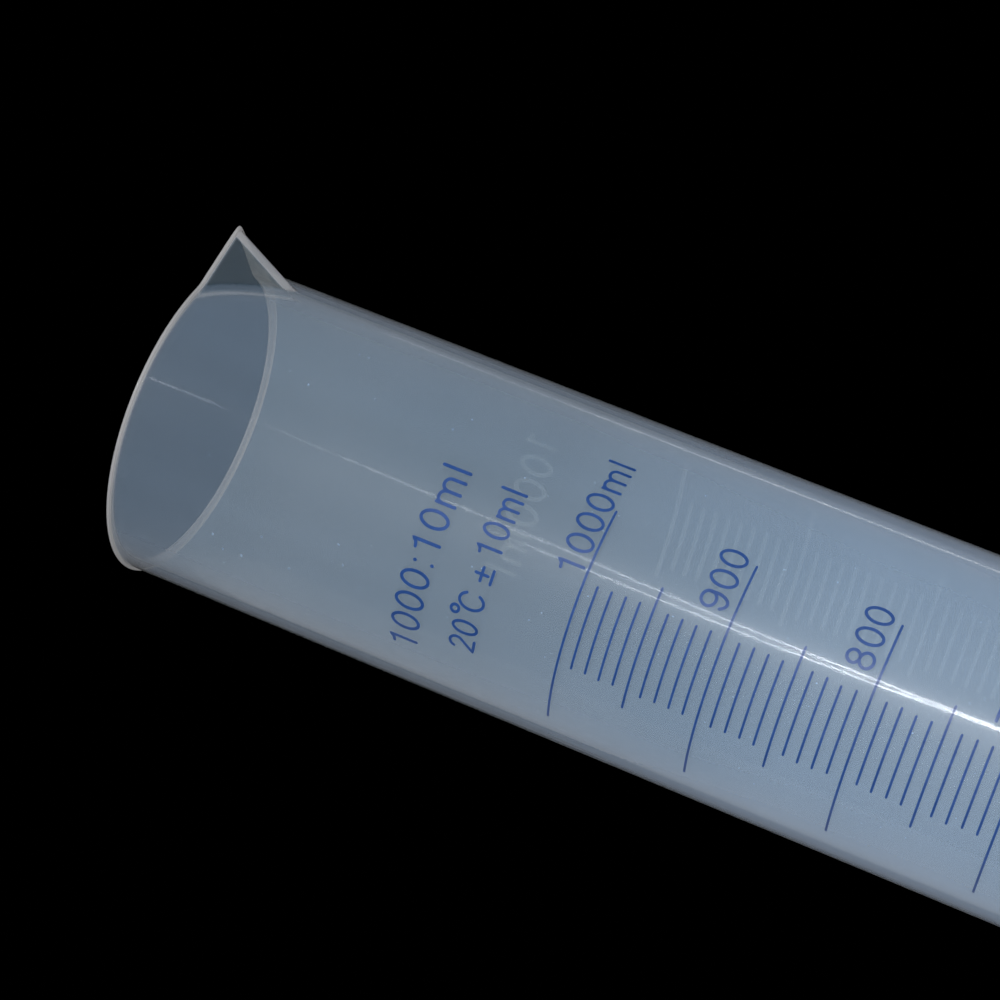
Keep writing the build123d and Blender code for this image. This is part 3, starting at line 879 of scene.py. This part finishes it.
def polypropylene(name, veil, edge_veil):
    """Milky see-through plastic. A veil is how thickly a surface scatters seen square on, or seen edge on,
    where it also carries the painted pale glow of the thick edges.
    """
    n = Nodes(name)
    cloud = n.noise(14.0, 3.0)
    flow = n.noise(9.0, 3.0, (14.0, 14.0, 0.6), 0.6)
    scratch = n.noise(60.0, 1.0, (7.0, 7.0, 0.12))
    fine = n.noise(900.0, 2.0)
    speck = n.noise(1300.0, 0.0)
    edge = n.add("ShaderNodeAttribute", attribute_name="edge_glow").outputs["Fac"]
    thin = n.add("ShaderNodeAttribute", attribute_name="thin_wall_and_painted_shade").outputs["Fac"]
    soft = n.add("ShaderNodeAttribute", attribute_name="soft_gloss").outputs["Fac"]
    facing = n.add("ShaderNodeLayerWeight")
    facing.inputs["Blend"].default_value = 0.5

    patchy = n.spread(cloud, *WIDE_MIDDLE, 0.94, 1.06)
    flow_lines = n.spread(flow, *WIDE_MIDDLE, 0.95, 1.06)
    flowing = n.math("MULTIPLY", flow_lines, n.spread(fine, *WIDE_MIDDLE, 0.98, 1.02))
    milk_depth = n.math("MULTIPLY", n.spread(thin, 0.0, 1.0, 1.0, MILK_IN_THIN_WALL), veil)
    milk_depth = n.math("MULTIPLY", n.spread(n.height(), TOP_LINE, LIP, 1.0, MILK_AT_LIP), milk_depth)
    # Painted light: more veil, so a paler tube, lower down where it is nearer the lamps.
    below = n.spread(n.height(), PAINTED_LIGHT_FULL_BELOW, PAINTED_LIGHT_RAMP_END, PAINTED_LIGHT_LOW_VEIL, PAINTED_LIGHT_ABOVE_VEIL)
    milk_depth = n.math("MULTIPLY", below, milk_depth)
    veiled = n.math("MULTIPLY", n.math("MULTIPLY", patchy, flowing), milk_depth)
    scratched = n.math("ADD", veiled, n.spread(scratch, 0.71, 0.77, 0.0, SCRATCH_DEPTH))
    upright = n.math("MAXIMUM", n.math("SUBTRACT", 1.0, facing.outputs["Facing"]), LEAST_UPRIGHT)
    kept = n.math("POWER", exp(-1.0), n.math("DIVIDE", scratched, upright))
    cover = n.math("SUBTRACT", 1.0, kept)
    # Thick edges cover more, as part of their painted pale glow.
    cover = n.math("MAXIMUM", cover, n.math("MULTIPLY", edge, edge_veil))
    cover = n.math("MAXIMUM", cover, n.spread(speck, 0.885, 0.90, 0.0, SPECK_COVER), clamp=True)

    milk = n.blend_into(n.spread(cloud, *MIDDLE, 0.0, 1.0), MILKY, MILKY_PALE)
    thick = n.blend_into(n.math("POWER", facing.outputs["Facing"], 3.0), milk, THICK)
    # Painted light in the colour: a darker spout side for shade, a paler edge for glow.
    colour = n.blend_into(edge, n.blend_into(thin, thick, MILKY_THIN_SHADED), EDGE)

    bump = n.add("ShaderNodeBump")
    bump.inputs["Strength"].default_value = 0.004
    bump.inputs["Distance"].default_value = 0.00004
    n.join(fine, bump.inputs["Height"])

    principled = n.add("ShaderNodeBsdfPrincipled")
    principled.inputs["IOR"].default_value = 1.49
    principled.inputs["Specular IOR Level"].default_value = 0.2
    n.join(colour, principled.inputs["Base Color"])
    n.join(n.spread(flow, *MIDDLE, 0.35, 0.45), principled.inputs["Roughness"])
    translucent = n.add("ShaderNodeBsdfTranslucent")
    n.join(colour, translucent.inputs["Color"])
    clear = n.add("ShaderNodeBsdfTransparent")
    clear.inputs["Color"].default_value = (*WARM_CLEAR, 1.0)
    solid = n.mix_shaders(PRINCIPLED_SHARE, translucent.outputs[0], principled.outputs[0])
    see_through = n.mix_shaders(cover, clear.outputs[0], solid)

    roughness = n.math("ADD", n.spread(flow, *WIDE_MIDDLE, *POLISHED), n.math("MULTIPLY", soft, SOFTER))
    shine = n.gloss(roughness, bump)
    haze = n.gloss(n.math("ADD", roughness, HAZE_ROUGHER), bump)
    grazing = n.math("POWER", facing.outputs["Facing"], 5.0)
    mirror = n.math("ADD", n.math("MULTIPLY", grazing, 1.0 - STRAIGHT_ON_MIRROR), STRAIGHT_ON_MIRROR)
    out = n.add("ShaderNodeOutputMaterial")
    n.join(n.mix_shaders(mirror, see_through, n.mix_shaders(HAZE_SHARE, shine, haze)), out.inputs["Surface"])
    return n.material


def blue_ink():
    """Opaque print, mottled, and worn thin in small spots."""
    n = Nodes("printed_blue_ink")
    mottle = n.noise(260.0, 3.0)
    wear = n.noise(900.0, 2.0)
    principled = n.add("ShaderNodeBsdfPrincipled")
    blue = n.blend_into(n.spread(mottle, *WIDE_MIDDLE, 0.0, 1.0), INK_BLUE, INK_BLUE_WORN)
    n.join(blue, principled.inputs["Base Color"])
    n.join(n.spread(mottle, *WIDE_MIDDLE, 0.34, 0.48), principled.inputs["Roughness"])
    principled.inputs["Coat Weight"].default_value = 1.0
    principled.inputs["Coat Roughness"].default_value = 0.26
    bump = n.add("ShaderNodeBump")
    bump.inputs["Strength"].default_value = 0.15
    bump.inputs["Distance"].default_value = 0.0002
    n.join(wear, bump.inputs["Height"])
    n.join(bump.outputs["Normal"], principled.inputs["Normal"])
    clear = n.add("ShaderNodeBsdfTransparent")
    cover = n.spread(wear, 0.28, 0.42, 0.80, 0.97)
    out = n.add("ShaderNodeOutputMaterial")
    n.join(n.mix_shaders(cover, clear.outputs[0], principled.outputs[0]), out.inputs["Surface"])
    return n.material


def pale_floor():
    n = Nodes("pale_floor")
    grain = n.noise(6.0, 4.0)
    principled = n.add("ShaderNodeBsdfPrincipled")
    n.join(n.blend_into(grain, *FLOOR_GREYS), principled.inputs["Base Color"])
    n.join(n.spread(grain, *WIDE_MIDDLE, 0.7, 0.8), principled.inputs["Roughness"])
    out = n.add("ShaderNodeOutputMaterial")
    n.join(principled.outputs[0], out.inputs["Surface"])
    return n.material


tube_plastic = polypropylene("milky_polypropylene", 0.14, 0.43)
base_plastic = polypropylene("milky_polypropylene_thick", 0.18, 0.0)
ink = blue_ink()
tube.data.materials.append(tube_plastic)
raised_scale.data.materials.append(polypropylene("milky_polypropylene_raised", 0.15, 0.0))
base.data.materials.append(base_plastic)
for piece in inks:
    piece.data.materials.append(ink)

# ---- floor and lights -------------------------------------------------------------------------------------
FLOOR_RADIUS = 4.0
FLOOR_CORNERS = 96
LINE_DISTANCE = 0.56               # of the narrow lights, from the axis
LINE_WIDTH_ACROSS = 0.007

# Narrow lights, as (height above the top line, bearing, brightness) from their lower end to the upper one.
RIGHT_LINE = (
    (-0.16, 29.5, 42.0), (-0.05, 28.7, 42.0), (0.01, 28.0, 30.0), (0.04, 28.2, 20.0), (0.068, 29.2, 19.0),
    (0.09, 30.2, 14.0), (0.107, 31.2, 8.5), (0.165, 32.4, 8.5), (0.215, 33.6, 3.6), (0.26, 34.8, 1.0),
)
LEFT_LINE = (
    (-0.16, 29.0, 50.0), (-0.056, 27.4, 50.0), (-0.025, 25.7, 42.0), (0.022, 24.5, 32.0),
    (0.067, 24.6, 19.0), (0.107, 25.0, 14.0), (0.128, 25.2, 5.5), (0.15, 25.4, 1.2),
)
LIP_LINE = ((0.285, 35.2, 1.5), (0.305, 35.4, 7.0), (0.32, 35.4, 4.5), (0.335, 34.5, 1.0))
EDGE_LINE = ((-0.16, 145.5, 7.5), (0.05, 145.5, 6.0), (0.15, 145.5, 4.0), (0.24, 145.5, 0.6))


def floor_disc():
    turns = [2 * pi * i / FLOOR_CORNERS for i in range(FLOOR_CORNERS)]
    ring = [(FLOOR_RADIUS * cos(turn), FLOOR_RADIUS * sin(turn), 0.0) for turn in turns]
    floor = new_mesh("floor", ring, [tuple(range(FLOOR_CORNERS))], smooth=False)
    floor.data.materials.append(pale_floor())
    return floor


def receivers(name, link_state):
    """What a light falls on: the floor alone, or all but the floor."""
    chosen = bpy.data.collections.new(name)
    chosen.objects.link(floor)
    chosen.collection_objects[0].light_linking.link_state = link_state
    return chosen


def area_light(name, bearing, distance, z, width, height, power, shine=True, tilt=0.0):
    """An upright light on a bearing, facing the axis. tilt leans its top to larger bearings."""
    data = bpy.data.lights.new(name, "AREA")
    data.shape = "RECTANGLE"
    data.size = width
    data.size_y = height
    data.energy = power
    light = bpy.data.objects.new(name, data)
    stand = Vector((distance * sin(radians(bearing)), -distance * cos(radians(bearing)), z))
    facing_axis = Vector((-stand.x, -stand.y, 0.0)).to_track_quat("-Z", "Y").to_matrix().to_4x4()
    light.matrix_world = Matrix.Translation(stand) @ facing_axis @ Matrix.Rotation(radians(-tilt), 4, "Z")
    light.visible_glossy = shine
    light.light_linking.receiver_collection = all_but_floor
    bpy.context.scene.collection.objects.link(light)


def overhead_light(height, size, power):
    """A wide soft light that falls on the floor alone."""
    data = bpy.data.lights.new("floor_soft", "AREA")
    data.size = size
    data.energy = power
    light = bpy.data.objects.new("floor_soft", data)
    light.location = (0.0, 0.0, height)
    light.visible_glossy = False
    light.light_linking.receiver_collection = only_floor
    bpy.context.scene.collection.objects.link(light)


def light_line(name, points, width):
    """A narrow crooked light through some of the points above."""
    for (low, low_bearing, low_glow), (high, high_bearing, high_glow) in zip(points, points[1:]):
        across = radians(high_bearing - low_bearing) * LINE_DISTANCE
        length = hypot(across, high - low)
        power = (low_glow + high_glow) / 2 * pi * width * length
        area_light(name, (low_bearing + high_bearing) / 2, LINE_DISTANCE, TOP_LINE + (low + high) / 2,
                   width, length, power, tilt=degrees(atan2(across, high - low)))


floor = floor_disc()
only_floor = receivers("only_floor", "INCLUDE")
all_but_floor = receivers("all_but_floor", "EXCLUDE")
overhead_light(3.0, 8.0, 200.0)
area_light("key_soft", 25.0, 1.05, TOP_LINE - 0.06, 2.3, 0.5, 23.3, shine=False)
for points in (RIGHT_LINE, LEFT_LINE, LIP_LINE, EDGE_LINE):
    light_line("key_line", points, LINE_WIDTH_ACROSS)
area_light("fill_side", -85.0, 1.0, TOP_LINE, 1.0, 0.9, 0.7)
area_light("fill_back", 205.0, 1.6, 0.6, 1.2, 1.2, 3.0, shine=False)

world = bpy.data.worlds.new("dark_room")
world.use_nodes = True
world.node_tree.nodes["Background"].inputs["Color"].default_value = (0.0, 0.0, 0.0, 1.0)
bpy.context.scene.world = world
bpy.context.scene.view_settings.view_transform = "Standard"
bpy.context.scene.cycles.transparent_max_bounces = 24
